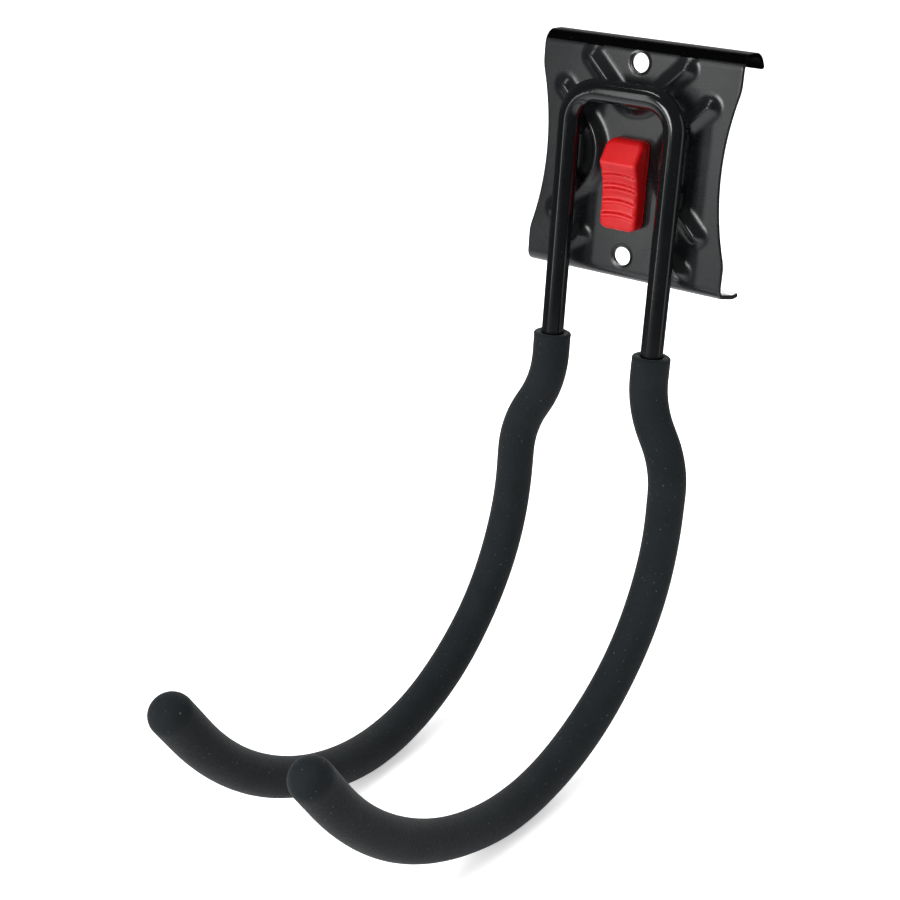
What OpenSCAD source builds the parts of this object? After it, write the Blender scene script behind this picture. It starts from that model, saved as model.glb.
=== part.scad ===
// Wall and rail storage hook: a pressed steel back plate with a lip along its top and its bottom edge,
// a bent steel rod that forms two padded prongs, and a slide latch that locks the plate on a rail.
// Frame: millimetres, +Z up, +Y towards the wall, +X to the right for someone who faces the hook.
// The origin is midway between the two screw holes, on the plate's back face.

/* [Back plate] */
// Thickness of the plate's sheet
sheet_t = 2; // [1.5:0.1:2.5]
// Width of the plate along its top edge
top_w = 90; // [88:0.5:94]
// Width of the plate along its bottom edge
bottom_w = 92; // [88:0.5:94]
// Width of the plate at its waist
waist_w = 80.6; // [76:0.2:84]
// Radius of the concave sides
side_r = 120; // [100:5:160]
// Distance between the two screw holes
screw_spacing = 80; // [78:0.5:82]
// Diameter of the screw holes
screw_hole_d = 7.8; // [5:0.1:9]

/* [Lips] */
// Height at which the top bend starts, above the screw holes' middle
top_bend_z = 42.4; // [41.5:0.1:44]
// Inner radius of the top bend
top_bend_r = 4; // [3:0.5:5]
// Flat run of the top lip before it curls down
top_lip_run = 5.5; // [3:0.5:8]
// Inner radius of the top lip's curl
curl_r = 7; // [5:0.5:8]
// Angle of the top lip's curl
curl_angle = 57; // [50:1:75]
// Height at which the bottom bend starts, counted downwards
bottom_bend_z = 45.3; // [44.6:0.1:46]
// Inner radius of the bottom bend
bottom_bend_r = 3; // [2:0.5:4]
// Angle of the bottom bend, which leaves the bottom lip sloping down to the back
bottom_bend_angle = 78; // [75:1:88]
// Straight run of the bottom lip
bottom_lip_run = 9.5; // [6:0.5:11]

/* [Pressed beads] */
// Outer radius of a bead's section
bead_r = 3.8; // [3.4:0.1:4]
// How far a bead's centre lies behind the plate's front face
bead_sink = 0.7; // [0.5:0.1:1]
// Radius of the groove that a bead leaves in the plate's back
groove_r = 2.2; // [1.8:0.1:2.4]
// Corner radius of the top bead
top_bead_corner = 9.4; // [8:0.2:11]
// Corner radius of the side beads
side_bead_corner = 19; // [17:0.5:21]

/* [Hook rod] */
// Diameter of the steel rod
rod_d = 9.5; // [8:0.1:10]
// Distance between the axes of the rod's two legs
leg_spacing = 48.2; // [46:0.2:52]
// Distance from the plate's front face to the rod's axis
rod_standoff = 10.7; // [10.2:0.1:11]
// Height of the rod's top bar
bar_z = 28.6; // [27.6:0.2:30]
// Bend radius at the ends of the top bar
bar_corner_r = 12.5; // [10:0.5:14]
// Height at which each leg starts to turn outwards, counted downwards
splay_z = 85.6; // [80:0.2:100]
// Bend radius of the outward turn
splay_r = 46.7; // [35:0.1:60]
// Angle of the outward turn
splay_angle = 30; // [20:1:32]
// Straight link in the middle of the outward turn
splay_link = 3; // [1:0.5:5]
// Straight run below the outward turn
drop_run = 9; // [5:0.2:20]
// Radius of the first stretch of the hook
hook_r1 = 89.5; // [80:0.5:95]
// Angle of the first stretch of the hook
hook_a1 = 44.6; // [40:0.2:48]
// Radius of the middle stretch of the hook
hook_r2 = 106.5; // [95:0.5:115]
// Angle of the middle stretch of the hook
hook_a2 = 57.4; // [50:0.2:60]
// Radius of the last stretch of the hook
hook_r3 = 160.5; // [140:0.5:170]
// Angle of the last stretch of the hook
hook_a3 = 40.8; // [36:0.2:46]
// Straight run at the tip, up to the middle of the dome
tip_run = 16.4; // [13:0.2:20]
// Angle by which each prong leans towards the other one
toe_angle = 1.8; // [0:0.1:3]

/* [Foam sleeves] */
// Outer diameter of the foam
foam_d = 16.7; // [14:0.1:19]
// Straight stretch of foam above the outward turn
foam_lead = 9.6; // [2:0.2:12]

/* [Latch] */
// Width of the latch's button
button_w = 16.9; // [15:0.1:17.5]
// Top of the button, above the screw holes' middle
button_top = 9.7; // [9:0.1:10]
// Bottom of the button, counted downwards
button_bottom = 27.6; // [26:0.1:28]
// Height of the ridge across the button, above the screw holes' middle
ridge_z = 0.6; // [0:0.1:2]
// Depth of the button at its ridge, from the plate's front face
ridge_depth = 12.5; // [11:0.1:13]
// Depth of the button at its top end
top_depth = 5.5; // [5:0.1:7]
// Depth of the button at its thumb rest
rest_depth = 7.7; // [7:0.1:9]
// Travel of the latch
latch_travel = 8; // [6:0.5:8]

/* [Hidden] */
$fn = 64;

// Clearances
moving_gap = 0.3;
fit_gap = 0.05;
over = 1;

// How the stretches of a bent piece lap
lap = 0.05;
slim = 0.02;

// Back plate
plate_front = -sheet_t;
waist_z = 1;
outline_reach = 140;
tip_curl_angle = 14;
tip_curl_r = 14;
lip_end_run = 2;

// Pressed beads
bead_y = plate_front + bead_sink;
bead_front = bead_y - bead_r;
top_bead_corner_z = waist_z + 17.9;
top_bead_reach = 21.3;
side_bead_corner_x = 34 - side_bead_corner * sqrt(2);
side_bead_reach = 25.9;
short_bead_z = -13.6;
short_bead_from = 20.5;
short_bead_to = 27.5;

// Hook rod
rod_r = rod_d / 2;
rod_y = plate_front - rod_standoff;
leg_x = leg_spacing / 2;
leg_run = bar_z - bar_corner_r + splay_z;
bar_half = leg_x - bar_corner_r;
rod_tip_run = tip_run - 1.6;

// Welds, on the inner side of each place where a leg crosses an arm of a side bead
weld_r = 4.2;
weld_len = 2;
weld_y = -6.2;
weld_inset = 5;
weld_reach = leg_x - side_bead_corner_x - weld_inset;

// Foam and end caps
foam_r = foam_d / 2;
cap_wall = 0.8;
cap_end = 1.2;
cap_bore_r = rod_r + fit_gap;
cap_r = cap_bore_r + cap_wall;
cap_start = 1.6;

// Latch button and its stem
button_base = plate_front - moving_gap;
button_corner_r = 2.6;
edge_r = 1.6;
rest_z = -16;
rest_rise = ridge_z - rest_z;
rest_drop = ridge_depth - rest_depth;
rest_r = (rest_rise * rest_rise + rest_drop * rest_drop) / (2 * rest_drop);
stem_w = 6.5;
stem_top = -7.1;
stem_bottom = -19.1;
end_gap = 0.4;

// Latch bolt, behind the plate
bolt_front = moving_gap;
bolt_t = 2.3;
bolt_back = bolt_front + bolt_t;
bolt_half_w = 10.5;
bolt_top = 8.4;
fork_bottom = -43;
fork_top = -34;
fork_inner = 6.8;
notch_r = 1.2;
notch_depth = 0.45;
notch_w = 14;

// Latch screws
screw_zs = [-9.9, -16.3];
screw_r = 1.1;
screw_head_r = 2.2;
screw_head_h = 1.4;
screw_len = 9;

// Detent spring and its plug welds
spring_t = 0.5;
spring_w = 12;
spring_top = 34;
spring_knee = 20.4;
blade_top = 17;
blade_bottom = 1.2;
blade_y = bolt_back + 0.6;
dimple_z = 3.4;
dimple_r = 1.5;
dimple_h = 0.3;
plug_x = 3.2;
plug_z = 30.9;
plug_r = 1.2;
plug_head_r = 1.8;
plug_head_h = 0.3;

// ---- Helpers: a path of runs and bends, travelling along local +Z and bending towards local +X ----
// Full stretches lap over their ends by a hair and slim ones are a hair thinner, so that the joints fuse
// cleanly. Full and slim stretches alternate, and a run is always full.

module run(r, len) {
    translate([0, 0, -lap]) cylinder(r = r, h = len + 2 * lap);
    translate([0, 0, len]) children();
}

module bend(r, bend_r, angle, full = false) {
    side = sign(angle);
    more = full ? lap / bend_r * 180 / PI : 0;
    turn = abs(angle) + 2 * more;
    translate([side * bend_r, 0, 0])
        rotate([90, 0, 0])
            rotate([0, 0, (side > 0 ? 180 - turn : 0) + side * more])
                rotate_extrude(angle = turn)
                    translate([bend_r, 0])
                        circle(r = full ? r : r - slim);
    translate([side * bend_r, 0, 0])
        rotate([0, angle, 0])
            translate([-side * bend_r, 0, 0])
                children();
}

// Runs round the splay and the hook from the leg's end to the start of the tip
module hook_path(r) {
    bend(r, splay_r, -splay_angle)
        run(r, splay_link)
            bend(r, splay_r, splay_angle)
                run(r, drop_run)
                    rotate([0, 0, toe_angle - 90])
                        bend(r, hook_r1, hook_a1)
                            bend(r, hook_r2, hook_a2, full = true)
                                bend(r, hook_r3, hook_a3)
                                    children();
}

// Puts children at the start of the splay on the right leg, travelling down with local +X to the left
module at_splay(above = 0) {
    translate([leg_x, rod_y, above - splay_z])
        rotate([0, 180, 0])
            children();
}

// ---- Helpers: bent sheet, travelling along local +Y, with its outer face at -sheet_t ----

module sheet_run(w, len) {
    translate([-sheet_t, -lap, -w / 2]) cube([sheet_t, len + 2 * lap, w]);
    translate([0, len, 0]) children();
}

module sheet_bend(w, inner_r, angle) {
    turn = abs(angle);
    centre = angle > 0 ? inner_r : -sheet_t - inner_r;
    start = angle > 0 ? 180 - turn : 0;
    translate([centre, 0, 0])
        rotate([0, 0, start])
            rotate_extrude(angle = turn)
                translate([inner_r + slim, -w / 2])
                    square([sheet_t - 2 * slim, w]);
    translate([centre, 0, 0])
        rotate([0, 0, -angle])
            translate([-centre, 0, 0])
                children();
}

// ---- Back plate ----

// Stands sheet work up: local X becomes +Y, local Y becomes +Z
module stand_up() {
    rotate([90, 0, 90]) children();
}

module bent_sheet(w) {
    stand_up() {
        sheet_run(w, top_bend_z)
            sheet_bend(w, top_bend_r, 90)
                sheet_run(w, top_lip_run)
                    sheet_bend(w, curl_r, curl_angle)
                        sheet_run(w, lip_end_run);
        mirror([0, 1, 0])
            sheet_run(w, bottom_bend_z)
                sheet_bend(w, bottom_bend_r, bottom_bend_angle)
                    sheet_run(w, bottom_lip_run)
                        sheet_bend(w, tip_curl_r, tip_curl_angle)
                            sheet_run(w, lip_end_run);
    }
}

// Front view of the plate: two widths with a concave stretch on each side
module outline() {
    rotate([90, 0, 0])
        linear_extrude(height = outline_reach, center = true)
            difference() {
                union() {
                    translate([-top_w / 2, waist_z]) square([top_w, outline_reach / 2]);
                    translate([-bottom_w / 2, waist_z - outline_reach / 2])
                        square([bottom_w, outline_reach / 2]);
                }
                for (side = [-1, 1])
                    translate([side * (waist_w / 2 + side_r), waist_z]) circle(r = side_r, $fn = 180);
            }
}

// A bead bent to a right angle, its corner pointing down and its arms ending at +-reach
module corner_bead(r, corner_r, reach) {
    tangent = corner_r / sqrt(2);
    rotate([90, 0, 0]) {
        translate([0, corner_r * sqrt(2), 0])
            rotate([0, 0, 225])
                rotate_extrude(angle = 90)
                    translate([corner_r, 0])
                        circle(r = r - slim);
        for (side = [-1, 1]) {
            translate([side * tangent, tangent, 0])
                rotate([0, 0, side * -45])
                    rotate([-90, 0, 0])
                        run(r, (reach - tangent) * sqrt(2));
            translate([side * reach, reach, 0]) sphere(r = r - slim);
        }
    }
}

module short_bead(r) {
    for (side = [-1, 1]) {
        translate([side * short_bead_from, 0, short_bead_z - short_bead_from])
            rotate([0, side * 135, 0])
                run(r, (short_bead_to - short_bead_from) * sqrt(2));
        for (x = [short_bead_from, short_bead_to])
            translate([side * x, 0, short_bead_z - x]) sphere(r = r - slim);
    }
}

module side_beads(r) {
    for (side = [-1, 1])
        translate([side * side_bead_corner_x, bead_y, waist_z])
            rotate([0, side * 90, 0])
                corner_bead(r, side_bead_corner, side_bead_reach);
}

module beads(r) {
    translate([0, bead_y, top_bead_corner_z]) corner_bead(r, top_bead_corner, top_bead_reach);
    side_beads(r);
    translate([0, bead_y, 0]) short_bead(r);
}

// Keeps only what lies in front of the sheet's middle
module front_half() {
    intersection() {
        children();
        translate([-top_w / 2, bead_front - over, -screw_spacing])
            cube([top_w, plate_front + sheet_t / 2 - bead_front + over, 2 * screw_spacing]);
    }
}

module latch_slot() {
    slot_bottom = stem_bottom - end_gap;
    slot_top = stem_top + latch_travel + end_gap;
    slot_w = stem_w + 2 * moving_gap;
    translate([-slot_w / 2, plate_front - over, slot_bottom])
        cube([slot_w, sheet_t + 2 * over, slot_top - slot_bottom]);
}

module back_plate() {
    color([0.09, 0.1, 0.11])
        difference() {
            union() {
                intersection() {
                    bent_sheet(2 * top_w);
                    outline();
                }
                front_half() beads(bead_r);
            }
            beads(groove_r);
            for (side = [-1, 1])
                translate([0, over, side * screw_spacing / 2])
                    rotate([90, 0, 0])
                        cylinder(d = screw_hole_d, h = sheet_t + 2 * over);
            latch_slot();
        }
}

// ---- Hook rod, its welds, its end caps and its foam ----

module rod_half() {
    translate([bar_half, rod_y, bar_z])
        rotate([0, 90, 0])
            bend(rod_r, bar_corner_r, 90)
                run(rod_r, leg_run)
                    hook_path(rod_r)
                        run(rod_r, rod_tip_run - lap);
}

module hook_rod() {
    color([0.05, 0.05, 0.06]) {
        translate([-bar_half, rod_y, bar_z]) rotate([0, 90, 0]) run(rod_r, 2 * bar_half);
        rod_half();
        mirror([1, 0, 0]) rod_half();
    }
}

// One pair of weld nuggets between the legs' backs and the crests of the side beads
module weld_pair(z) {
    difference() {
        for (side = [-1, 1])
            translate([side * leg_x, weld_y, z]) {
                translate([0, 0, -weld_len / 2]) run(weld_r, weld_len);
                for (end = [-1, 1])
                    translate([0, 0, end * weld_len / 2]) sphere(r = weld_r - slim);
            }
        for (side = [-1, 1])
            translate([side * leg_x, rod_y, z - weld_reach]) cylinder(r = rod_r, h = 2 * weld_reach);
        side_beads(bead_r);
        translate([-top_w / 2, plate_front, z - weld_reach]) cube([top_w, sheet_t + over, 2 * weld_reach]);
    }
}

module rod_welds_upper() {
    color([0.07, 0.07, 0.08]) weld_pair(waist_z + weld_reach);
}

module rod_welds_lower() {
    color([0.07, 0.07, 0.08]) weld_pair(waist_z - weld_reach);
}

module foam_sleeve() {
    difference() {
        at_splay(foam_lead)
            run(foam_r, foam_lead)
                hook_path(foam_r)
                    run(foam_r, tip_run)
                        sphere(r = foam_r - slim);
        at_splay(foam_lead + over)
            run(rod_r + fit_gap, foam_lead + over)
                hook_path(rod_r + fit_gap)
                    run(rod_r + fit_gap, cap_start)
                        cylinder(r = cap_r + fit_gap, h = rod_tip_run + cap_end + 2 * fit_gap - cap_start);
    }
}

module foam_sleeve_right() {
    color([0.14, 0.14, 0.15]) foam_sleeve();
}

module foam_sleeve_left() {
    color([0.14, 0.14, 0.15]) mirror([1, 0, 0]) foam_sleeve();
}

// Thin cap over the rod's cut end, inside the foam
module rod_end_cap() {
    at_splay()
        end_frame()
            difference() {
                translate([0, 0, cap_start])
                    cylinder(r = cap_r, h = rod_tip_run + fit_gap + cap_end - cap_start);
                translate([0, 0, cap_start - over])
                    cylinder(r = cap_bore_r, h = rod_tip_run + fit_gap - cap_start + over);
            }
}

// The same route as hook_path, without drawing it
module end_frame() {
    skip_bend(splay_r, -splay_angle)
        translate([0, 0, splay_link])
            skip_bend(splay_r, splay_angle)
                translate([0, 0, drop_run])
                    rotate([0, 0, toe_angle - 90])
                        skip_bend(hook_r1, hook_a1)
                            skip_bend(hook_r2, hook_a2)
                                skip_bend(hook_r3, hook_a3)
                                    children();
}

module skip_bend(bend_r, angle) {
    side = sign(angle);
    translate([side * bend_r, 0, 0])
        rotate([0, angle, 0])
            translate([-side * bend_r, 0, 0])
                children();
}

module rod_end_cap_right() {
    color([0.2, 0.2, 0.2]) rod_end_cap();
}

module rod_end_cap_left() {
    color([0.2, 0.2, 0.2]) mirror([1, 0, 0]) rod_end_cap();
}

// ---- Latch ----

// Depth of the button's front below its ridge, at a height z
function rest_at(z) = z < rest_z ? rest_depth : rest_depth + rest_r - sqrt(pow(rest_r, 2) - pow(z - rest_z, 2));

// Side view of the button: local X is the depth, local Y the height
module button_profile() {
    step = 1;
    rest_points = [for (z = [rest_z : step : ridge_z - step / 2]) [rest_at(z), z]];
    polygon(concat(
        [[moving_gap, button_top], [moving_gap, -button_bottom]],
        [for (a = [0 : 15 : 90]) [
            rest_depth - edge_r + edge_r * sin(a),
            -button_bottom + edge_r - edge_r * cos(a),
        ]],
        rest_points,
        [[ridge_depth, ridge_z], [ridge_depth - 0.4, ridge_z + 1]],
        [for (a = [30 : 15 : 90]) [
            top_depth - edge_r + edge_r * cos(a),
            button_top - edge_r + edge_r * sin(a),
        ]]
    ));
}

// Front view of the button, a rectangle with round corners
module button_front_view() {
    half_w = button_w / 2 - button_corner_r;
    low = -button_bottom + button_corner_r;
    high = button_top - button_corner_r;
    rotate([90, 0, 0])
        linear_extrude(height = 2 * ridge_depth + 2 * over, center = true) {
            translate([-half_w, -button_bottom]) square([2 * half_w, button_top + button_bottom]);
            translate([-button_w / 2, low]) square([button_w, high - low]);
            for (x = [-half_w, half_w], z = [low, high])
                translate([x, z]) circle(r = button_corner_r);
        }
}

module latch_button() {
    color([0.85, 0.05, 0.08])
        difference() {
            union() {
                intersection() {
                    translate([-button_w / 2, plate_front, 0])
                        rotate([90, 0, 90])
                            linear_extrude(height = button_w)
                                mirror([1, 0]) button_profile();
                    translate([0, plate_front, 0]) button_front_view();
                }
                translate([-stem_w / 2, button_base - over, stem_bottom])
                    cube([stem_w, bolt_front - button_base + over, stem_top - stem_bottom]);
            }
            for (z = screw_zs)
                translate([0, bolt_front + over, z])
                    rotate([90, 0, 0])
                        cylinder(r = screw_r + fit_gap, h = screw_len + over);
        }
}

module latch_bolt() {
    color([0.55, 0.56, 0.58])
        difference() {
            translate([-bolt_half_w, bolt_front, fork_bottom])
                cube([2 * bolt_half_w, bolt_t, bolt_top - fork_bottom]);
            translate([-fork_inner, bolt_front - over, fork_bottom - over])
                cube([2 * fork_inner, bolt_t + 2 * over, fork_top - fork_bottom + over]);
            for (z = screw_zs)
                translate([0, bolt_back + over, z])
                    rotate([90, 0, 0])
                        cylinder(r = screw_r + 2 * fit_gap, h = bolt_t + 2 * over);
            for (z = [dimple_z, dimple_z - latch_travel])
                translate([-notch_w / 2, bolt_back + notch_r - notch_depth, z])
                    rotate([0, 90, 0])
                        cylinder(r = notch_r, h = notch_w);
        }
}

module latch_screws() {
    slot_w = 0.6;
    slot_depth = 0.7;
    color([0.7, 0.7, 0.72])
        for (z = screw_zs)
            translate([0, bolt_back, z])
                difference() {
                    union() {
                        rotate([-90, 0, 0]) cylinder(r = screw_head_r, h = screw_head_h);
                        rotate([90, 0, 0]) cylinder(r = screw_r, h = screw_len);
                    }
                    for (turn = [0, 90])
                        translate([0, screw_head_h, 0])
                            rotate([0, turn, 0])
                                cube([2 * screw_r, 2 * slot_depth, slot_w], center = true);
                }
}

module detent_spring() {
    color([0.65, 0.66, 0.68])
        difference() {
            union() {
                translate([-spring_w / 2, 0, 0])
                    rotate([90, 0, 90])
                        linear_extrude(height = spring_w)
                            polygon([
                                [0, spring_top],
                                [0, spring_knee],
                                [blade_y, blade_top],
                                [blade_y, blade_bottom],
                                [blade_y + spring_t, blade_bottom],
                                [blade_y + spring_t, blade_top + spring_t / 2],
                                [spring_t, spring_knee + spring_t / 2],
                                [spring_t, spring_top],
                            ]);
                intersection() {
                    translate([0, blade_y - dimple_h + dimple_r, dimple_z]) sphere(r = dimple_r);
                    translate([-over - dimple_r, blade_y - over, dimple_z - dimple_r])
                        cube([2 * (dimple_r + over), over + spring_t / 2, 2 * dimple_r]);
                }
            }
            for (side = [-1, 1])
                translate([side * plug_x, over + spring_t, plug_z])
                    rotate([90, 0, 0])
                        cylinder(r = plug_r + fit_gap, h = spring_t + 2 * over);
        }
}

// Plug welds that hold the spring's tab on the plate's back
module spring_plug_welds() {
    color([0.35, 0.35, 0.36])
        for (side = [-1, 1])
            translate([side * plug_x, 0, plug_z]) {
                rotate([-90, 0, 0]) cylinder(r = plug_r, h = spring_t + plug_head_h / 2);
                translate([0, spring_t, 0])
                    rotate([-90, 0, 0])
                        cylinder(r = plug_head_r, h = plug_head_h);
            }
}

back_plate();
hook_rod();
rod_welds_upper();
rod_welds_lower();
foam_sleeve_left();
foam_sleeve_right();
rod_end_cap_left();
rod_end_cap_right();
latch_button();
latch_bolt();
latch_screws();
detent_spring();
spring_plug_welds();
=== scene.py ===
import math

import bpy
import numpy as np
from mathutils import Matrix, Vector


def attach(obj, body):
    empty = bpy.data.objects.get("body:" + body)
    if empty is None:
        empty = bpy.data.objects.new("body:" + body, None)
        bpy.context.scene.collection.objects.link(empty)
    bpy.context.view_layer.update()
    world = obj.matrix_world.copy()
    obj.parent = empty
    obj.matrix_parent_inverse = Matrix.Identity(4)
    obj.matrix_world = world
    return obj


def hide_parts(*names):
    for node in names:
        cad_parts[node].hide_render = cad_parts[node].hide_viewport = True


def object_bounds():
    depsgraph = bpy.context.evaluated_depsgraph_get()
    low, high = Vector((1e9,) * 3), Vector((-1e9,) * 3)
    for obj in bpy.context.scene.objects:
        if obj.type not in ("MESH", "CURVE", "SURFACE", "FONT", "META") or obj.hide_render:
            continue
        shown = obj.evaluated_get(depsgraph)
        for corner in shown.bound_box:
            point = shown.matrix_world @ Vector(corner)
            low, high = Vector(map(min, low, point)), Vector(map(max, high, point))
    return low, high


MM = 0.001

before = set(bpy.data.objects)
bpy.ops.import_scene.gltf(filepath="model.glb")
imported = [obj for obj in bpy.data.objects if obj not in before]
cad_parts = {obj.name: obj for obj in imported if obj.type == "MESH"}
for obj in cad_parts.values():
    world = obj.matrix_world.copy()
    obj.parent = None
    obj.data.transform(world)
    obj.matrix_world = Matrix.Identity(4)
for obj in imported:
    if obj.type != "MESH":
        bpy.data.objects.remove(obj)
cad_low, cad_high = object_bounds()

# ---------------------------------------------------------------- sizes in millimetres
# the same as in the part's source
SHEET = 2.0                        # thickness of the plate's sheet
TOP_W, BOTTOM_W, WAIST_W = 90.0, 92.0, 80.6
SIDE_R, WAIST_Z = 120.0, 1.0       # the arc that hollows the plate's sides, and the height of its middle
TOP_BEND_Z, TOP_BEND_R, TOP_RUN = 42.4, 4.0, 5.5
CURL_R, CURL_A = 7.0, 57.0
BOT_BEND_Z, BOT_BEND_R, BOT_BEND_A, BOT_RUN = 45.3, 3.0, 78.0, 9.5
TIP_CURL_R, TIP_CURL_A, LIP_END = 14.0, 14.0, 2.0
HOLE_R, HOLE_Z = 3.9, 40.0

TOP_BEAD_Z, TOP_BEAD_R, TOP_BEAD_REACH = WAIST_Z + 17.9, 9.4, 21.3
SIDE_BEAD_R, SIDE_BEAD_REACH, SIDE_ARC_X = 19.0, 25.9, 34.0
SIDE_BEAD_X = SIDE_ARC_X - SIDE_BEAD_R * math.sqrt(2)
FOOT_BEAD_NEAR, FOOT_BEAD_FAR, FOOT_BEAD_DROP = 20.5, 27.5, -13.6

ROD_R, LEG_X, ROD_Y, BAR_Z, BAR_CORNER = 4.75, 24.1, -12.7, 28.6, 12.5
SPLAY_Z, SPLAY_R, SPLAY_A, SPLAY_LINK, DROP = 85.6, 46.7, 30.0, 3.0, 9.0
HOOK = ((89.5, 44.6), (106.5, 57.4), (160.5, 40.8))   # radius and angle of each bend, from the top
TIP_RUN, TOE = 16.4, 1.8
FOAM_R, FOAM_LEAD = 8.35, 9.6
WELD_Y, WELD_INSET = -6.2, 5.0

BUTTON_W, BUTTON_TOP, BUTTON_BOTTOM = 16.9, 9.7, -27.6
RIDGE_Z, RIDGE_D, TOP_D, REST_D, REST_Z = 0.6, 12.5, 5.5, 7.7, -16.0
STEM_W, STEM_LOW, STEM_HIGH = 6.5, -19.1, -7.1
TRAVEL, SLOT_SIDE_GAP, SLOT_END_GAP = 8.0, 0.3, 0.4

# what only the looks need
BEAD_H, BEAD_FOOT = 3.1, 6.2       # height of a pressed bead and how far its rounded foot reaches
RELIEF_END = 47.0                  # the relief is worked out this far along the sheet, both ways
SHEET_EDGE = 0.35                  # radius of the sheet's broken edges
GROOVE_H = 3.5                     # depth of the groove that a bead leaves in the sheet's back
WELD_R, WELD_LENGTH = 4.15, 10.2   # just inside the CAD's plain nuggets
DISH_H, DISH_W = 0.45, 1.3         # the shallow dish round each screw hole
LIP_SHADE_Z, LIP_SHADE_Y = 44.7, 2.0   # painted shade: the top lip above or behind these is painted near-black with almost no sheen, to look shaded
FOAM_SLACK = 0.21                  # the foam's mean surface lies this far inside its nominal radius
BUTTON_CORNER, BUTTON_EDGE, BUTTON_BASE = 3.2, 1.8, 0.3
GROOVES = ((-5.2, 0.42, 0.42), (-9.3, 0.30, 0.34), (-11.2, 0.45, 0.42), (-16.2, 0.5, 0.46),
           (-17.7, 0.22, 0.3), (-21.7, 0.5, 0.46), (-23.2, 0.2, 0.3))   # height, depth, half width


# ---------------------------------------------------------------- helpers
def new_mesh(name, verts, faces, smooth_angle=None):
    mesh = bpy.data.meshes.new(name)
    mesh.from_pydata([tuple(v) for v in verts], [], [tuple(f) for f in faces])
    mesh.validate()
    mesh.update()
    obj = bpy.data.objects.new(name, mesh)
    bpy.context.scene.collection.objects.link(obj)
    mesh.shade_smooth()
    if smooth_angle is not None:
        mesh.set_sharp_from_angle(angle=math.radians(smooth_angle))
    return obj


def apply_modifiers(obj):
    dg = bpy.context.evaluated_depsgraph_get()
    mesh = bpy.data.meshes.new_from_object(obj.evaluated_get(dg))
    obj.modifiers.clear()
    old = obj.data
    obj.data = mesh
    bpy.data.meshes.remove(old)


def cut(obj, verts, faces):
    """Cuts a closed shape out of obj."""
    tool = new_mesh("cutter", verts, faces)
    mod = obj.modifiers.new("cut", "BOOLEAN")
    mod.operation, mod.solver, mod.object = "DIFFERENCE", "EXACT", tool
    apply_modifiers(obj)
    mesh = tool.data
    bpy.data.objects.remove(tool)
    bpy.data.meshes.remove(mesh)


def ring_faces(n_rings, n_sides):
    """Quads that join closed rings of vertices, each ring to the next."""
    faces = []
    for k in range(n_rings - 1):
        low, high = k * n_sides, (k + 1) * n_sides
        for s in range(n_sides):
            e = (s + 1) % n_sides
            faces.append((low + s, low + e, high + e, high + s))
    return faces


def end_faces(n_rings, n_sides):
    """The two flat ends of a stack of rings."""
    last = (n_rings - 1) * n_sides
    return [tuple(range(n_sides - 1, -1, -1)), tuple(range(last, last + n_sides))]


def ring(centre, u, v, radii, n_sides):
    """Points round centre in the plane of u and v, at one radius or at a radius for each."""
    angles = 2 * math.pi * np.arange(n_sides) / n_sides
    radii = np.broadcast_to(radii, (n_sides,))
    return [centre + r * (math.cos(a) * u + math.sin(a) * v) for r, a in zip(radii, angles)]


def cylinder(radius, p0, p1, n_sides=96):
    """A closed cylinder from p0 to p1, as vertices and faces, from sizes in metres."""
    p0, p1 = Vector(p0), Vector(p1)
    axis = (p1 - p0).normalized()
    u = axis.orthogonal().normalized()
    v = axis.cross(u)
    verts = []
    for p in (p0, p1):
        for k in range(n_sides):
            a = 2 * math.pi * k / n_sides
            verts.append(p + radius * (math.cos(a) * u + math.sin(a) * v))
    return verts, ring_faces(2, n_sides) + end_faces(2, n_sides)


def block(half_x, y0, y1, z0, z1):
    """A closed box, as vertices and faces, from sizes in millimetres."""
    corners = ((-half_x, z0), (half_x, z0), (half_x, z1), (-half_x, z1))
    verts = [(x * MM, y * MM, z * MM) for y in (y0, y1) for x, z in corners]
    faces = [(0, 1, 2, 3), (7, 6, 5, 4), (0, 4, 5, 1), (1, 5, 6, 2), (2, 6, 7, 3), (3, 7, 4, 0)]
    return verts, faces


def smooth_step(a, b, x):
    t = np.clip((x - a) / (b - a), 0, 1)
    return t * t * (3 - 2 * t)


def soft_min(a, b, k):
    h = np.clip(0.5 + 0.5 * (b - a) / k, 0, 1)
    return b * (1 - h) + a * h - k * h * (1 - h)


# ---------------------------------------------------------------- the plate's relief
def seg_dist(x, z, a, b):
    ax, az, bx, bz = a[0], a[1], b[0], b[1]
    dx, dz = bx - ax, bz - az
    t = np.clip(((x - ax) * dx + (z - az) * dz) / (dx * dx + dz * dz), 0, 1)
    return np.hypot(x - ax - t * dx, z - az - t * dz)


def corner_bead_dist(x, z, corner_r, reach):
    """Distance to a right-angled line, its corner at the origin, its arms going up to (+-reach, reach)."""
    x = np.abs(x)
    tangent = corner_r / math.sqrt(2)
    arm = seg_dist(x, z, (tangent, tangent), (reach, reach))
    cz = corner_r * math.sqrt(2)
    ang = np.degrees(np.arctan2(x, cz - z))
    arc = np.abs(np.hypot(x, z - cz) - corner_r)
    return np.where((ang < 45) & (z < cz), np.minimum(arc, arm), arm)


def bead_dist(x, z):
    d = corner_bead_dist(x, z - TOP_BEAD_Z, TOP_BEAD_R, TOP_BEAD_REACH)
    near, far, drop = FOOT_BEAD_NEAR, FOOT_BEAD_FAR, FOOT_BEAD_DROP
    for s in (1, -1):
        side = corner_bead_dist(z - WAIST_Z, s * x - SIDE_BEAD_X, SIDE_BEAD_R, SIDE_BEAD_REACH)
        foot = seg_dist(s * x, z, (near, drop - near), (far, drop - far))
        d = np.minimum(np.minimum(d, side), foot)
    return d


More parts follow.
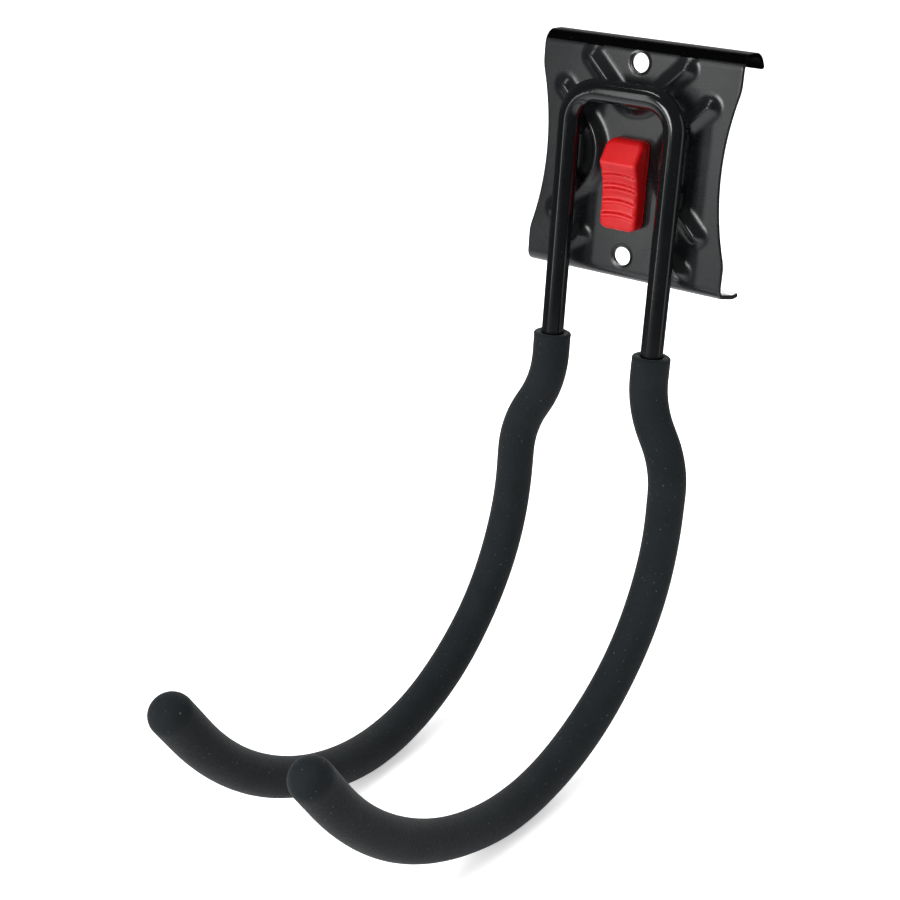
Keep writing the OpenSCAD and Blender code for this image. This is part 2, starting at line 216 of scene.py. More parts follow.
def bead_section(d, foot):
    """A narrow crest that runs out in a wide hollow fillet, from 1 at the crest to 0 at the foot."""
    t = np.clip(d / foot, 0, 1)
    return (1 - t * t) ** 2 / (1 + (t / 0.5) ** 2)


def relief(x, z):
    """How far the sheet's front and back stand forward of their flat places."""
    d = bead_dist(x, z)
    front = BEAD_H * bead_section(d, BEAD_FOOT)
    # the groove in the back is half as wide
    back = GROOVE_H * 0.5 * (1 + np.cos(math.pi * np.clip(d / (0.5 * BEAD_FOOT), 0, 1)))
    for hz in (HOLE_Z, -HOLE_Z):
        r = np.hypot(x, z - hz)
        front = front - DISH_H * (1 - smooth_step(HOLE_R - 0.2, HOLE_R + DISH_W, r))
    return front, back


# ---------------------------------------------------------------- the plate
def half_width(z, flat_half):
    """Half the sheet's width at height z: the hollowed side, or flat_half where that is less."""
    arc = WAIST_W / 2 + SIDE_R - np.sqrt(SIDE_R ** 2 - (z - WAIST_Z) ** 2)
    return soft_min(arc, np.full_like(arc, flat_half), 0.8)


def walk(y, z, ang, moves, flip):
    """Points (y, z, tangent angle) along a line of straight runs and bends that start at y, z.
    A run is (name, length, step). A bend is (name, radius, degrees)."""
    pts = [(y, z, ang)]
    for kind, a, b in moves:
        if kind == "run":
            n = max(2, int(a / b))
            for k in range(1, n + 1):
                pts.append((y + math.cos(ang) * a * k / n, z + math.sin(ang) * a * k / n, ang))
            y, z = pts[-1][0], pts[-1][1]
        else:
            turn = math.radians(b) * flip
            n = max(4, int(abs(b) / 4))
            cy = y - math.sin(ang) * a * flip
            cz = z + math.cos(ang) * a * flip
            for k in range(1, n + 1):
                t = ang + turn * k / n
                pts.append((cy + math.sin(t) * a * flip, cz - math.cos(t) * a * flip, t))
            y, z, ang = pts[-1]
    return pts


def profile():
    """The sheet's middle line (y, z, tangent angle) from the bottom lip's end to the top lip's end."""
    half = SHEET / 2
    up = walk(-half, 0.0, math.pi / 2, [
        ("run", TOP_BEND_Z, 0.55), ("bend", TOP_BEND_R + half, 90), ("run", TOP_RUN, 1.0),
        ("bend", CURL_R + half, CURL_A), ("run", LIP_END, 1.0)], -1)
    down = walk(-half, 0.0, -math.pi / 2, [
        ("run", BOT_BEND_Z, 0.55), ("bend", BOT_BEND_R + half, BOT_BEND_A), ("run", BOT_RUN, 1.0),
        ("bend", TIP_CURL_R + half, TIP_CURL_A), ("run", LIP_END, 1.0)], 1)
    down = [(y, z, a + math.pi) for y, z, a in down[:0:-1]]
    return down + up


def edge_steps(thick):
    """Steps round a broken edge: how far each stands out and the half thickness that is left there."""
    angles = [math.radians(22.5 * k) for k in range(1, 5)]
    return [(SHEET_EDGE * math.sin(a), thick - SHEET_EDGE * (1 - math.cos(a))) for a in angles]


def sheet_loop(z, along, thick, across):
    """One closed section of the sheet, as (x, offset towards the back) from its middle line."""
    flat_half = (TOP_W if z > WAIST_Z else BOTTOM_W) / 2
    inner = float(half_width(np.array([z]), flat_half)[0]) - SHEET_EDGE
    xs = across * inner
    front = back = np.zeros_like(xs)
    if abs(along) < RELIEF_END:
        front, back = relief(xs, np.full_like(xs, along))
    quarter = [(inner + out, off) for out, off in edge_steps(thick)]
    rim = [(x, -off) for x, off in quarter] + quarter[::-1]
    loop = [(x, -thick - f) for x, f in zip(xs, front)] + rim
    loop += [(x, thick - f) for x, f in zip(xs[::-1], back[::-1])]
    return loop + [(-x, off) for x, off in rim[::-1]]


def sheet_end(n_across, n_rim):
    """Faces that close one end of the sheet: strips between front and back, and a fan at each side."""
    n = 2 * (n_across + n_rim)
    faces = []
    for c in range(n_across - 1):
        behind = 2 * n_across + n_rim - 1 - c
        faces.append((c, c + 1, behind - 1, behind))
    faces.append(tuple(range(n_across - 1, n_across + n_rim + 1)))
    faces.append(tuple(range(2 * n_across + n_rim - 1, n)) + (0,))
    return faces


def build_plate():
    rows = np.array(profile())
    along = np.r_[0, np.cumsum(np.hypot(*np.diff(rows[:, :2], axis=0).T))]
    # lengths count from the middle of the plate, which no lip row may stand in for
    along -= along[int(np.argmin(np.abs(rows[:, 1]) + 50 * (rows[:, 0] > 0)))]
    half = SHEET / 2
    # each row's index, how far it stands out past that row, and its half thickness
    last = len(rows) - 1
    plan = [(0, -out, thick) for out, thick in edge_steps(half)[::-1]]
    plan += [(k, 0.0, half) for k in range(len(rows))]
    plan += [(last, out, thick) for out, thick in edge_steps(half)]
    across = np.linspace(-1, 1, 171)
    verts = []
    for k, extra, thick in plan:
        y, z, ang = rows[k]
        ty, tz = math.cos(ang), math.sin(ang)
        loop = sheet_loop(z, float(along[k]), thick, across)
        y, z = y + extra * ty, z + extra * tz
        verts += [Vector((x, y + off * tz, z - off * ty)) * MM for x, off in loop]
    n, n_rim = len(loop), len(loop) // 2 - len(across)
    faces = ring_faces(len(plan), n)
    end = sheet_end(len(across), n_rim)
    faces += [face[::-1] for face in end]
    faces += [tuple((len(plan) - 1) * n + i for i in face) for face in end]
    obj = new_mesh("plate_sheet", verts, faces)
    front_y, back_y = -10, 8
    for z in (HOLE_Z, -HOLE_Z):
        cut(obj, *cylinder(HOLE_R * MM, (0, front_y * MM, z * MM), (0, back_y * MM, z * MM)))
    slot_low, slot_high = STEM_LOW - SLOT_END_GAP, STEM_HIGH + TRAVEL + SLOT_END_GAP
    cut(obj, *block(STEM_W / 2 + SLOT_SIDE_GAP, front_y, back_y, slot_low, slot_high))
    obj.data.shade_smooth()
    obj.data.set_sharp_from_angle(angle=math.radians(38))
    return obj


# ---------------------------------------------------------------- the rod's route
def bend_matrix(bend_r, angle):
    s = 1 if angle > 0 else -1
    t = Matrix.Translation((s * bend_r, 0, 0))
    return t @ Matrix.Rotation(math.radians(angle), 4, "Y") @ t.inverted()


def route_from_splay():
    """Points along the right prong's centre line from the start of the splay to the middle of the dome."""
    base = Matrix.Translation((LEG_X, ROD_Y, -SPLAY_Z)) @ Matrix.Rotation(math.pi, 4, "Y")
    pts = [base.translation.copy()]

    def run(m, length, n):
        for k in range(1, n + 1):
            pts.append((m @ Matrix.Translation((0, 0, length * k / n))).translation.copy())
        return m @ Matrix.Translation((0, 0, length))

    def bend(m, r, angle):
        n = max(6, int(abs(angle) * 0.9))
        for k in range(1, n + 1):
            pts.append((m @ bend_matrix(r, angle * k / n)).translation.copy())
        return m @ bend_matrix(r, angle)

    m = bend(base, SPLAY_R, -SPLAY_A)
    m = run(m, SPLAY_LINK, 2)
    m = bend(m, SPLAY_R, SPLAY_A)
    m = run(m, DROP, 5)
    m = m @ Matrix.Rotation(math.radians(TOE - 90), 4, "Z")
    for r, a in HOOK:
        m = bend(m, r, a)
    run(m, TIP_RUN, 8)
    return pts


def resample(pts, step, smoothings):
    """Even points along a route, smoothed a few times, and each one's length along it."""
    p = np.array([tuple(v) for v in pts])
    d = np.r_[0, np.cumsum(np.linalg.norm(np.diff(p, axis=0), axis=1))]
    n = max(2, int(round(d[-1] / step)))
    t = np.linspace(0, d[-1], n + 1)
    p = np.stack([np.interp(t, d, p[:, k]) for k in range(3)], 1)
    for _ in range(smoothings):
        p[1:-1] = 0.25 * p[:-2] + 0.5 * p[1:-1] + 0.25 * p[2:]
    return p, t


def frames_along(p):
    """Tangents and a pair of sideways directions that don't twist, one per point."""
    t = np.gradient(p, axis=0)
    t /= np.linalg.norm(t, axis=1)[:, None]
    ref = np.array([0.0, 1.0, 0.0]) if abs(t[0][1]) < 0.9 else np.array([0.0, 0.0, 1.0])
    u = np.cross(t[0], ref)
    u /= np.linalg.norm(u)
    us = [u]
    for k in range(1, len(p)):
        u = us[-1] - t[k] * np.dot(us[-1], t[k])
        us.append(u / np.linalg.norm(u))
    us = np.array(us)
    return t, us, np.cross(t, us)


# ---------------------------------------------------------------- rod and foam
def build_rod():
    n_sides, dome_gap = 40, 1.6
    prong = route_from_splay()
    # the rod stops a little short of the middle of the foam's dome
    prong[-1] = prong[-1] - (prong[-1] - prong[-2]).normalized() * dome_gap
    cx, cz = LEG_X - BAR_CORNER, BAR_Z - BAR_CORNER
    right = [Vector((0, ROD_Y, BAR_Z))]
    for k in range(33):
        a = math.radians(90 - 90 * k / 32)
        right.append(Vector((cx + BAR_CORNER * math.cos(a), ROD_Y, cz + BAR_CORNER * math.sin(a))))
    right += prong
    left = [Vector((-v.x, v.y, v.z)) for v in right[:0:-1]]
    p, _ = resample(left + right, 1.5, 2)
    _, u, v = frames_along(p)
    verts = []
    for k in range(len(p)):
        verts += [Vector(x) * MM for x in ring(p[k], u[k], v[k], ROD_R, n_sides)]
    return new_mesh("rod_bar", verts, ring_faces(len(p), n_sides) + end_faces(len(p), n_sides), 40)


def build_foam(side):
    rng = np.random.default_rng(11 if side > 0 else 23)
    n_sides = 48
    start = Vector((LEG_X, ROD_Y, -SPLAY_Z + FOAM_LEAD))
    lead = [start - Vector((0, 0, FOAM_LEAD * k / 4)) for k in range(4)]
    p, d = resample([Vector((side * v.x, v.y, v.z)) for v in lead + route_from_splay()], 1.0, 3)
    t, u, v = frames_along(p)
    angles = 2 * math.pi * np.arange(n_sides) / n_sides
    phase = rng.uniform(0, 2 * math.pi, 6)

    def radii(s):
        """Slow waves in the foam's thickness, never outside its nominal radius."""
        return (FOAM_R - FOAM_SLACK
                + (0.10 * np.sin(s / 23 + phase[0] + 1.0 * np.cos(angles + phase[3]))
                   + 0.06 * np.sin(s / 9.5 + phase[1] + 2 * angles)
                   + 0.05 * np.sin(s / 41 + phase[2] - angles)))

    rings = []
    bore = ROD_R + 0.05
    # the inside of the mouth, then its rounded lip, as radius and depth
    for depth in (9.0, 4.0, 1.2):
        rings.append(ring(p[0] + t[0] * depth, u[0], v[0], bore, n_sides))
    mouth = [(bore + 0.25, 0.35), (bore + 0.9, 0.06), (FOAM_R - 2.0, 0.0), (FOAM_R - 1.1, 0.1),
             (FOAM_R - 0.5, 0.42), (FOAM_R - 0.18, 0.9)]
    for r, depth in mouth:
        uneven = 0.08 * np.sin(3 * angles + phase[4]) * (r > bore + 0.3)
        rings.append(ring(p[0] + t[0] * depth, u[0], v[0], r + uneven, n_sides))
    # the sleeve, which is a little tighter at its mouth
    for k in range(2, len(p)):
        tight = 0.125 * math.exp(-d[k] / 5.0)
        rings.append(ring(p[k], u[k], v[k], radii(d[k]) - tight, n_sides))
    # the moulded dome
    n_dome, dome = 15, FOAM_R - 0.25
    for q in range(1, n_dome):
        a = math.radians(90 * q / n_dome)
        centre = p[-1] + t[-1] * dome * math.sin(a)
        rings.append(ring(centre, u[-1], v[-1], radii(d[-1]) * math.cos(a) ** 0.92, n_sides))
    verts = [Vector(x) * MM for points in rings for x in points]
    tip, last = len(verts), len(verts) - n_sides
    verts.append(Vector(p[-1] + t[-1] * dome) * MM)
    faces = ring_faces(len(rings), n_sides)
    faces += [(last + s, last + (s + 1) % n_sides, tip) for s in range(n_sides)]
    # close the bore's inner end, which nothing can see
    faces.append(end_faces(len(rings), n_sides)[0])
    name = "foam_grip_right" if side > 0 else "foam_grip_left"
    return new_mesh(name, verts, faces, 50)


# ---------------------------------------------------------------- welds
def build_weld(name, x, z, seed):
    """One fused nugget between a leg's back and a bead's crest, with the ripples of a hand weld."""
    rng = np.random.default_rng(seed)
    n_rings, n_sides = 27, 32
    phase = rng.uniform(0, 2 * math.pi, 4)
    verts = []
    for k in range(n_rings):
        s = -1 + 2 * k / (n_rings - 1)
        body = WELD_R * math.sqrt(max(1 - abs(s) ** 3.0, 0)) + 1e-3
        for q in range(n_sides):
            a = 2 * math.pi * q / n_sides
            ripple = (0.09 * math.sin(s * 17 + phase[0] + 0.6 * math.cos(a))
                      + 0.05 * math.sin(3 * a + phase[1] + 4 * s))
            r = 0.98 * max(body - 0.2 + ripple * (1 - s ** 4), 0.001)
            spot = (x + r * math.cos(a), WELD_Y + r * math.sin(a), z + s * WELD_LENGTH / 2)
            verts.append(Vector(spot) * MM)
    return new_mesh(name, verts, ring_faces(n_rings, n_sides) + end_faces(n_rings, n_sides), 60)


# ---------------------------------------------------------------- the latch button
def button_depth(z):
    """Depth of the button's face from the plate's front, along its height."""
    rise, drop = RIDGE_Z - REST_Z, RIDGE_D - REST_D
    r = (rise * rise + drop * drop) / (2 * drop)
    rest = REST_D + r - np.sqrt(np.maximum(r * r - (z - REST_Z) ** 2, 0))
    rest = np.where(z < REST_Z, REST_D, rest)
    slope = RIDGE_D + (TOP_D + 0.9 - RIDGE_D) * (z - RIDGE_Z) / (BUTTON_TOP - RIDGE_Z)
    return soft_min(rest, slope, 0.9)


def spaced(n, reach):
    """n places from -1 to 1 that crowd towards both ends, the more so the nearer reach is to 1."""
    return np.sin(np.linspace(-1, 1, n) * math.pi / 2 * reach) / math.sin(math.pi / 2 * reach)


def grooves(x, z, fade):
    """What the arched grip grooves and the low swells above them take off the button's face."""
    taken = np.zeros_like(x)
    for height, deep, wide in GROOVES:
        line = height + 1.25 * (1 - (x / (BUTTON_W / 2)) ** 2)
        taken += 1.4 * deep * np.exp(-((z - line) / wide) ** 2) * fade
        taken -= 0.55 * deep * np.exp(-((z - line - 1.15) / (wide * 1.3)) ** 2) * fade
    return taken


def button_face(n_u, n_v):
    """The button's face as a grid of x, z and depth."""
    hw, corner, edge = BUTTON_W / 2, BUTTON_CORNER, BUTTON_EDGE
    mid, hz = (BUTTON_TOP + BUTTON_BOTTOM) / 2, (BUTTON_TOP - BUTTON_BOTTOM) / 2
    z_rows = mid + spaced(n_v, 0.97) * hz
    over = np.maximum(np.abs(z_rows - mid) - (hz - corner), 0)
    half = hw - corner + np.sqrt(np.maximum(corner ** 2 - over ** 2, 0))
    x = spaced(n_u, 0.985)[None, :] * half[:, None]
    z = np.repeat(z_rows[:, None], n_u, 1)
    # distance in from the outline, then the rounded edge that it gives
    qx = np.abs(x) - (hw - corner)
    qz = np.abs(z - mid) - (hz - corner)
    outside = np.hypot(np.maximum(qx, 0), np.maximum(qz, 0)) + np.minimum(np.maximum(qx, qz), 0)
    inset = np.clip(corner - outside, 0, None)
    e = np.clip(edge - inset, 0, edge)
    depth = button_depth(z) - (edge - np.sqrt(np.maximum(edge ** 2 - e ** 2, 0)))
    crown = 0.25 * (x / hw) ** 2
    return x, z, depth - crown - grooves(x, z, smooth_step(0.3, 1.5, inset))


def build_button():
    n_u, n_v, n_levels = 61, 151, 8
    x, z, depth = button_face(n_u, n_v)
    verts = [(x[i, j], -SHEET - depth[i, j], z[i, j]) for i in range(n_v) for j in range(n_u)]
    faces = []
    for i in range(n_v - 1):
        for j in range(n_u - 1):
            a = i * n_u + j
            faces.append((a, a + 1, a + n_u + 1, a + n_u))
    border = list(range(n_u))
    border += [i * n_u + n_u - 1 for i in range(1, n_v)]
    border += [(n_v - 1) * n_u + j for j in range(n_u - 2, -1, -1)]
    border += [i * n_u for i in range(n_v - 2, 0, -1)]
    # the walls go straight back from the face's border to the base
    above = border
    for level in range(1, n_levels + 1):
        below = []
        for index in border:
            vx, vy, vz = verts[index]
            top = -vy - SHEET
            below.append(len(verts))
            verts.append((vx, -SHEET - (top + (BUTTON_BASE - top) * level / n_levels), vz))
        for k in range(len(border)):
            m = (k + 1) % len(border)
            faces.append((above[k], below[k], below[m], above[m]))
        above = below
    faces.append(tuple(above[::-1]))
    button = new_mesh("latch_thumb_button", [Vector(v) * MM for v in verts], faces, 45)
    # the stem that goes through the slot
    stem_front, stem_back = -SHEET - BUTTON_BASE - 0.4, 0.3
    stem_shape = block(STEM_W / 2, stem_front, stem_back, STEM_LOW, STEM_HIGH)
    stem = new_mesh("latch_button_stem", *stem_shape, 30)
    bevel = stem.modifiers.new("bevel", "BEVEL")
    bevel.width, bevel.segments = 0.4 * MM, 3
    apply_modifiers(stem)
    return button, stem


# ---------------------------------------------------------------- materials
class Nodes:
    """A small help to write a material's nodes."""

    def __init__(self, name):
        self.mat = bpy.data.materials.new(name)
        self.mat.use_nodes = True
        self.tree = self.mat.node_tree
        self.tree.nodes.clear()
        self.out = self.add("ShaderNodeOutputMaterial")
        self.bsdf = self.add("ShaderNodeBsdfPrincipled")
        self.link(self.bsdf.outputs[0], self.out.inputs["Surface"])
        self.coord = self.add("ShaderNodeTexCoord").outputs["Object"]

    def add(self, kind, **values):
        """A new node. A value goes to the attribute or, spaces for underscores, the input of that name."""
        node = self.tree.nodes.new(kind)
        for key, value in values.items():
            if hasattr(node, key):
                setattr(node, key, value)
            else:
                node.inputs[key.replace("_", " ")].default_value = value
        return node

    def link(self, a, b):
        self.tree.links.new(a, b)

    def noise(self, scale, detail=3.0, rough=0.55, stretch=None):
        node = self.add("ShaderNodeTexNoise", Scale=scale, Detail=detail, Roughness=rough)
        vec = self.coord
        if stretch:
            mapping = self.add("ShaderNodeMapping", Scale=stretch)
            self.link(self.coord, mapping.inputs["Vector"])
            vec = mapping.outputs[0]
        self.link(vec, node.inputs["Vector"])
        return node.outputs["Fac"]

    def ramp(self, fac, low, high):
        """From one colour to another, with the change between 0.3 and 0.7 of fac."""
        node = self.add("ShaderNodeValToRGB")
        for el, position, color in zip(node.color_ramp.elements, (0.3, 0.7), (low, high)):
            el.position = position
            el.color = (*color, 1)
        self.link(fac, node.inputs["Fac"])
        return node.outputs["Color"]

    def spread(self, fac, low, high, a=0.3, b=0.7):
        """Low to high as fac goes from a to b."""
        node = self.add("ShaderNodeMapRange", From_Min=a, From_Max=b, To_Min=low, To_Max=high)
        self.link(fac, node.inputs["Value"])
        return node.outputs["Result"]

    def mix(self, fac, a, b):
        node = self.add("ShaderNodeMix", data_type="RGBA")
        self.link(fac, node.inputs[0])
        for sock, value in ((node.inputs[6], a), (node.inputs[7], b)):
            if isinstance(value, tuple):
                sock.default_value = (*value, 1)
            else:
                self.link(value, sock)
        return node.outputs[2]

    def math(self, op, a, b=0.0):
        node = self.add("ShaderNodeMath", operation=op)
        for sock, value in ((node.inputs[0], a), (node.inputs[1], b)):
            if isinstance(value, (int, float)):
                sock.default_value = value
            else:
                self.link(value, sock)
        return node.outputs[0]

    def edges(self, low, high):
        """1 on sharp convex edges, 0 elsewhere."""
        geo = self.add("ShaderNodeNewGeometry")
        return self.spread(geo.outputs["Pointiness"], 0.0, 1.0, low, high)

    def bump(self, height, strength, distance, previous=None):
        node = self.add("ShaderNodeBump", Strength=strength, Distance=distance)
        self.link(height, node.inputs["Height"])
        if previous is not None:
            self.link(previous, node.inputs["Normal"])
        return node.outputs["Normal"]

    def surface(self, color, rough, normal=None, **constants):
        self.link(color, self.bsdf.inputs["Base Color"])
        self.link(rough, self.bsdf.inputs["Roughness"])
        if normal is not None:
            self.link(normal, self.bsdf.inputs["Normal"])
        for key, value in constants.items():
            self.bsdf.inputs[key.replace("_", " ")].default_value = value
        return self.mat


def times(color, factor):
    """A colour made darker or lighter, with each channel at most 1."""
    return tuple(min(c * factor, 1) for c in color)


def coated_black(name, base, rough, grain, wear, gloss):
    """Black powder or dip coat on steel."""
    m = Nodes(name)
    cloud = m.noise(38, 4, 0.6)
    fine = m.noise(grain, 2, 0.5)
    dust = m.noise(900, 2, 0.7)
    color = m.ramp(cloud, times(base, 0.8), times(base, 1.25))
    specks = m.spread(dust, 0.0, 0.12, 0.70, 0.78)
    color = m.mix(specks, color, (0.25, 0.25, 0.25))
    color = m.mix(m.math("MULTIPLY", m.edges(0.52, 0.62), wear), color, (0.16, 0.16, 0.165))
    r = m.spread(cloud, rough - 0.035, rough + 0.05)
    normal = m.bump(fine, 0.10, 0.00012)
    normal = m.bump(m.noise(160, 2, 0.5), 0.025, 0.0004, normal)
    return m.surface(color, r, normal, Specular_IOR_Level=gloss, IOR=1.5)


def foam_material():
    """Charcoal foam: fine cells, a cloudy tone and a few pale specks."""
    m = Nodes("foam_charcoal")
    cloud = m.noise(55, 3, 0.6)
    grain = m.noise(1500, 3, 0.6)
    cells = m.add("ShaderNodeTexVoronoi", Scale=1400)
    m.link(m.coord, cells.inputs["Vector"])
    color = m.ramp(cloud, (0.0062, 0.0079, 0.0090), (0.0094, 0.0117, 0.0132))
    color = m.mix(m.spread(grain, 0.0, 0.5, 0.35, 0.7), color, (0.0128, 0.0158, 0.0176))
    specks = m.spread(m.noise(1050, 1, 0.5), 0.0, 0.35, 0.73, 0.80)
    color = m.mix(specks, color, (0.20, 0.20, 0.20))
    r = m.spread(grain, 0.72, 0.9)
    normal = m.bump(cells.outputs["Distance"], 0.35, 0.00025)
    normal = m.bump(m.noise(420, 4, 0.65), 0.35, 0.0004, normal)
    return m.surface(color, r, normal, Specular_IOR_Level=0.14, Sheen_Weight=0.07, Sheen_Roughness=0.35)


def red_material():
    """Red moulded plastic with a fine grain and paler edges."""
    m = Nodes("latch_red_plastic")
    cloud = m.noise(90, 3, 0.6)
    grain = m.noise(1700, 3, 0.6)
    color = m.ramp(cloud, (0.41, 0.0022, 0.0036), (0.48, 0.0038, 0.0055))
    color = m.mix(m.math("MULTIPLY", m.edges(0.508, 0.56), 0.7), color, (0.80, 0.070, 0.075))
    r = m.spread(grain, 0.30, 0.42)
    normal = m.bump(grain, 0.22, 0.00016)
    normal = m.bump(m.noise(260, 2, 0.5), 0.12, 0.0004, normal)
    return m.surface(color, r, normal, Specular_IOR_Level=0.30)


def cap_material():
    """Dark plastic of the caps inside the foam."""
    m = Nodes("end_cap_plastic")
    cloud = m.noise(120, 3, 0.6)
    color = m.ramp(cloud, (0.02, 0.02, 0.02), (0.035, 0.035, 0.036))
    normal = m.bump(m.noise(1500, 2, 0.6), 0.2, 0.0002)
    return m.surface(color, m.spread(cloud, 0.45, 0.6), normal)


def zinc_material(name, base, stretch, rough, scratch):
    """Bright plated or spring steel with drawn lines, faint stains and light scratches."""
    m = Nodes(name)
    lines = m.noise(300, 4, 0.7, stretch)
    cloud = m.noise(70, 4, 0.65)
    color = m.ramp(cloud, times(base, 0.78), times(base, 1.12))
    color = m.mix(m.spread(lines, 0.0, 0.25, 0.45, 0.75), color, times(base, 0.6))
    r = m.math("ADD", m.spread(lines, rough - 0.06, rough + 0.08), m.spread(cloud, -0.03, 0.05))
    normal = m.bump(lines, scratch, 0.0001)
    return m.surface(color, r, normal, Metallic=1.0)


plate_mat = coated_black("plate_black_coat", (0.0052, 0.0060, 0.0068), 0.26, 700, 0.30, 0.55)
# painted shade: near-black with almost no sheen, so that the top lip looks shaded
lip_shade_mat = coated_black("top_lip_painted_shade", (0.0008, 0.0008, 0.0009), 0.60, 500, 0.02, 0.01)
rod_mat = coated_black("rod_black_coat", (0.0032, 0.0036, 0.0040), 0.125, 620, 0.20, 0.52)
weld_mat = coated_black("weld_black_coat", (0.0030, 0.0033, 0.0036), 0.34, 500, 0.05, 0.18)
foam_mat = foam_material()
red_mat = red_material()
cap_mat = cap_material()
bolt_mat = zinc_material("bolt_zinc_steel", (0.62, 0.63, 0.65), (1, 1, 0.08), 0.34, 0.18)
screw_mat = zinc_material("screw_zinc_steel", (0.70, 0.70, 0.71), (0.4, 1, 0.4), 0.27, 0.12)
spring_mat = zinc_material("spring_bright_steel", (0.50, 0.51, 0.53), (1, 1, 0.05), 0.26, 0.16)
plug_mat = zinc_material("plug_weld_steel", (0.30, 0.30, 0.31), (1, 0.3, 1), 0.42, 0.3)


def paint(obj, mat):
    obj.data.materials.clear()
    obj.data.materials.append(mat)


# ---------------------------------------------------------------- put it together
plate = build_plate()
paint(plate, plate_mat)
plate.data.materials.append(lip_shade_mat)
# painted shade: the top lip, down to the lower part of its bend, is painted near-black with almost no
# sheen, to look shaded
for poly in plate.data.polygons:
    spot = poly.center / MM
    on_lip = spot.z > LIP_SHADE_Z or (spot.z > 0 and spot.y > LIP_SHADE_Y)
    poly.material_index = 1 if on_lip else 0
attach(plate, "hook")
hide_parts("back_plate")

rod = build_rod()
paint(rod, rod_mat)
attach(rod, "hook")
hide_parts("hook_rod")

for side, node in ((1, "foam_sleeve_right"), (-1, "foam_sleeve_left")):
    foam = build_foam(side)
    paint(foam, foam_mat)
    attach(foam, "hook")
    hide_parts(node)

weld_reach = LEG_X - SIDE_BEAD_X - WELD_INSET
seed = 3
for height, level, node in ((weld_reach, "upper", "rod_welds_upper"),
                            (-weld_reach, "lower", "rod_welds_lower")):
    for x, side in ((-LEG_X, "left"), (LEG_X, "right")):
        seed += 1
        weld = build_weld(f"weld_{level}_{side}", x, WAIST_Z + height, seed)
        paint(weld, weld_mat)
        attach(weld, "hook")
        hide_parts(node)

for piece in build_button():
    paint(piece, red_mat)
    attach(piece, "latch")
    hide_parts("latch_button")

# the hidden parts are the CAD's own solids, with their materials
cad_looks = {"rod_end_cap_left": cap_mat, "rod_end_cap_right": cap_mat, "latch_bolt": bolt_mat,
             "latch_screws": screw_mat, "detent_spring": spring_mat, "spring_plug_welds": plug_mat}
for node, mat in cad_looks.items():
    paint(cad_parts[node], mat)


# ---------------------------------------------------------------- stage
scene = bpy.context.scene


def floor_material():
    """White to the eye. In reflections it is pale under the object, grey in a wedge in front of it and
    dark elsewhere."""
    m = Nodes("floor_white")
    path = m.add("ShaderNodeLightPath")
    pale = m.ramp(m.noise(3, 3, 0.5), (0.93, 0.93, 0.93), (0.95, 0.95, 0.95))
    reach = m.add("ShaderNodeVectorMath", operation="LENGTH")
    m.link(m.coord, reach.inputs[0])
    reach = reach.outputs["Value"]
    near = m.spread(reach, 1.0, 0.0, 0.30, 0.62)
    place = m.add("ShaderNodeSeparateXYZ")
    m.link(m.coord, place.inputs[0])
    x, y = place.outputs[0], place.outputs[1]
    aside = m.math("ABSOLUTE", m.math("SUBTRACT", m.math("DIVIDE", x, y), 0.38))
    wedge = m.math("MULTIPLY", m.spread(aside, 1.0, 0.0, 0.08, 0.36), m.spread(reach, 0.0, 1.0, 0.40, 0.80))
    wedge = m.math("MULTIPLY", wedge, m.math("LESS_THAN", y, 0.0))
    mirrored = m.mix(wedge, (0.045, 0.048, 0.052), (0.16, 0.17, 0.172))
    mirrored = m.mix(near, mirrored, (0.90, 0.91, 0.93))
    color = m.mix(path.outputs["Is Glossy Ray"], pale, mirrored)
    m.surface(color, m.spread(m.noise(5, 2, 0.5), 0.7, 0.8), Emission_Color=(1, 1, 1, 1))
    glow = m.math("MULTIPLY", path.outputs["Is Camera Ray"], 0.40)
    m.link(glow, m.bsdf.inputs["Emission Strength"])
    return m.mat


def build_floor():
    size, floor_z = 6.0, cad_low.z - 0.0006
    corners = ((-size, -size), (size, -size), (size, size), (-size, size))
    floor = new_mesh("floor", [(x, y, floor_z) for x, y in corners], [(0, 1, 2, 3)])
    floor.data.materials.append(floor_material())
    return floor


def build_world():
    """A white surround for the eye, a grey one for the light that falls on the object, and a dim one in
    its reflections."""
    diffuse, mirrored = 0.70, 0.09
    world = bpy.data.worlds.new("studio")
    world.use_nodes = True
    tree = world.node_tree
    ground = tree.nodes["Background"]
    ground.inputs["Color"].default_value = (1, 1, 1, 1)
    path = tree.nodes.new("ShaderNodeLightPath")
    level = tree.nodes.new("ShaderNodeMapRange")
    level.inputs["To Min"].default_value = diffuse
    level.inputs["To Max"].default_value = mirrored
    backdrop = tree.nodes.new("ShaderNodeMath")
    backdrop.operation = "MAXIMUM"
    for a, b in ((path.outputs["Is Glossy Ray"], level.inputs["Value"]),
                 (level.outputs["Result"], backdrop.inputs[0]),
                 (path.outputs["Is Camera Ray"], backdrop.inputs[1]),
                 (backdrop.outputs[0], ground.inputs["Strength"])):
        tree.links.new(a, b)
    return world


def aimed(direction):
    """The turn that points a light along direction."""
    return Vector(direction).to_track_quat("-Z", "Y").to_euler()


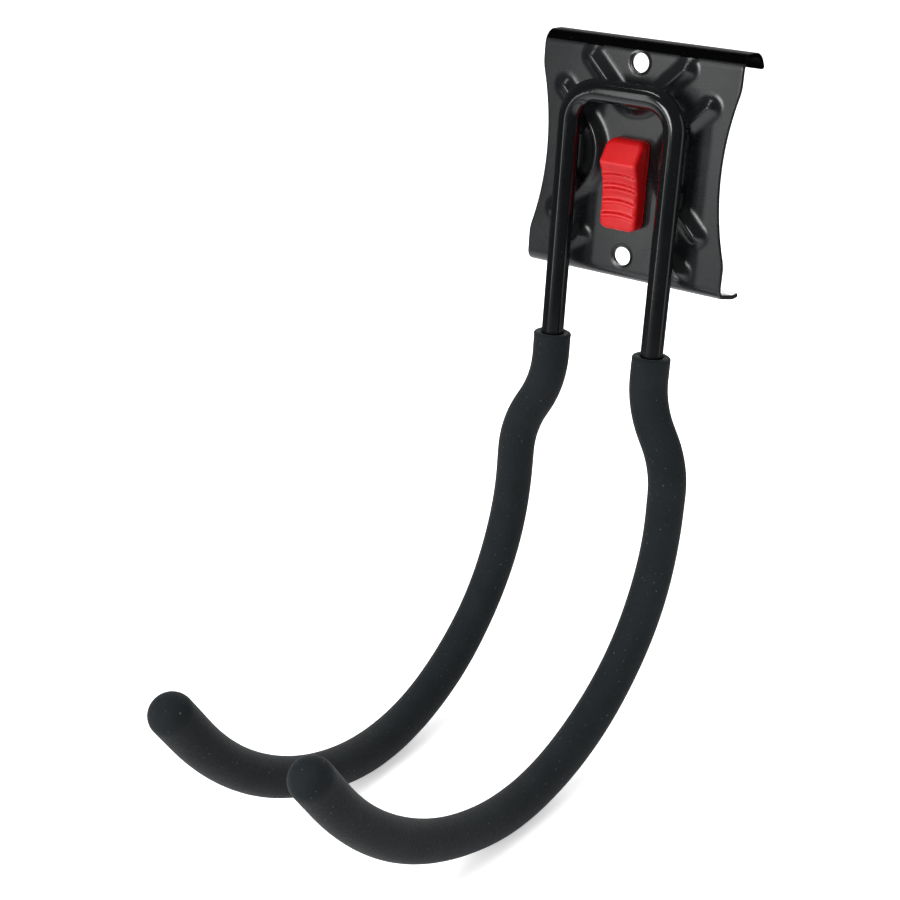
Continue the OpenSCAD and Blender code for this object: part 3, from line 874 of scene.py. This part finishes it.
def area(name, location, target, size_x, size_y, power):
    light = bpy.data.lights.new(name, "AREA")
    light.shape, light.size, light.size_y, light.energy = "RECTANGLE", size_x, size_y, power
    obj = bpy.data.objects.new(name, light)
    scene.collection.objects.link(obj)
    obj.location = location
    obj.rotation_euler = aimed(Vector(target) - Vector(location))
    obj.visible_camera = False


def soft_sun(direction, energy, angle):
    """A broad sun that lights the object without being mirrored in it."""
    sun = bpy.data.lights.new("soft_sky", "SUN")
    sun.energy, sun.angle = energy, math.radians(angle)
    obj = bpy.data.objects.new("soft_sky", sun)
    scene.collection.objects.link(obj)
    obj.visible_glossy = False
    obj.rotation_euler = aimed(direction)


def place_camera(location, azimuth, elevation, roll, lens):
    data = bpy.data.cameras.new("camera")
    data.sensor_width, data.lens = 36, lens
    data.clip_start, data.clip_end = 0.02, 50
    camera = bpy.data.objects.new("camera", data)
    scene.collection.objects.link(camera)
    scene.camera = camera
    az, el, roll = (math.radians(v) for v in (azimuth, elevation, roll))
    right = Vector((math.cos(az), math.sin(az), 0))
    back = Vector((math.sin(az) * math.cos(el), -math.cos(az) * math.cos(el), math.sin(el)))
    up = back.cross(right)
    x_axis = right * math.cos(roll) + up * math.sin(roll)
    y_axis = up * math.cos(roll) - right * math.sin(roll)
    turn = Matrix((x_axis, y_axis, back)).transposed().to_4x4()
    camera.matrix_world = Matrix.Translation(location) @ turn


build_floor()
scene.world = build_world()
soft_sun((0.22, 0.28, -1.0), 2.0, 55)
area("strip_front_left", (-0.27, -0.56, 0.04), (0, -0.012, 0.0), 0.07, 0.56, 0.42)
area("strip_top", (-0.13, -0.26, 0.56), (0, -0.012, 0.02), 0.30, 0.05, 0.55)
area("strip_right", (0.50, 0.14, 0.04), (0, -0.012, 0.0), 0.14, 0.56, 0.22)
area("back_fill", (-0.36, 0.80, 0.22), (0, 0.005, 0.0), 0.60, 0.50, 4.0)
area("front_box", (-0.14, -1.05, 0.10), (0, -0.02, 0.0), 0.26, 0.40, 4.5)
place_camera((0.29994, -0.57913, 0.12533), 33.40, 21.70, 3.30, 62.89)

scene.view_settings.view_transform = "Standard"
scene.view_settings.look = "None"
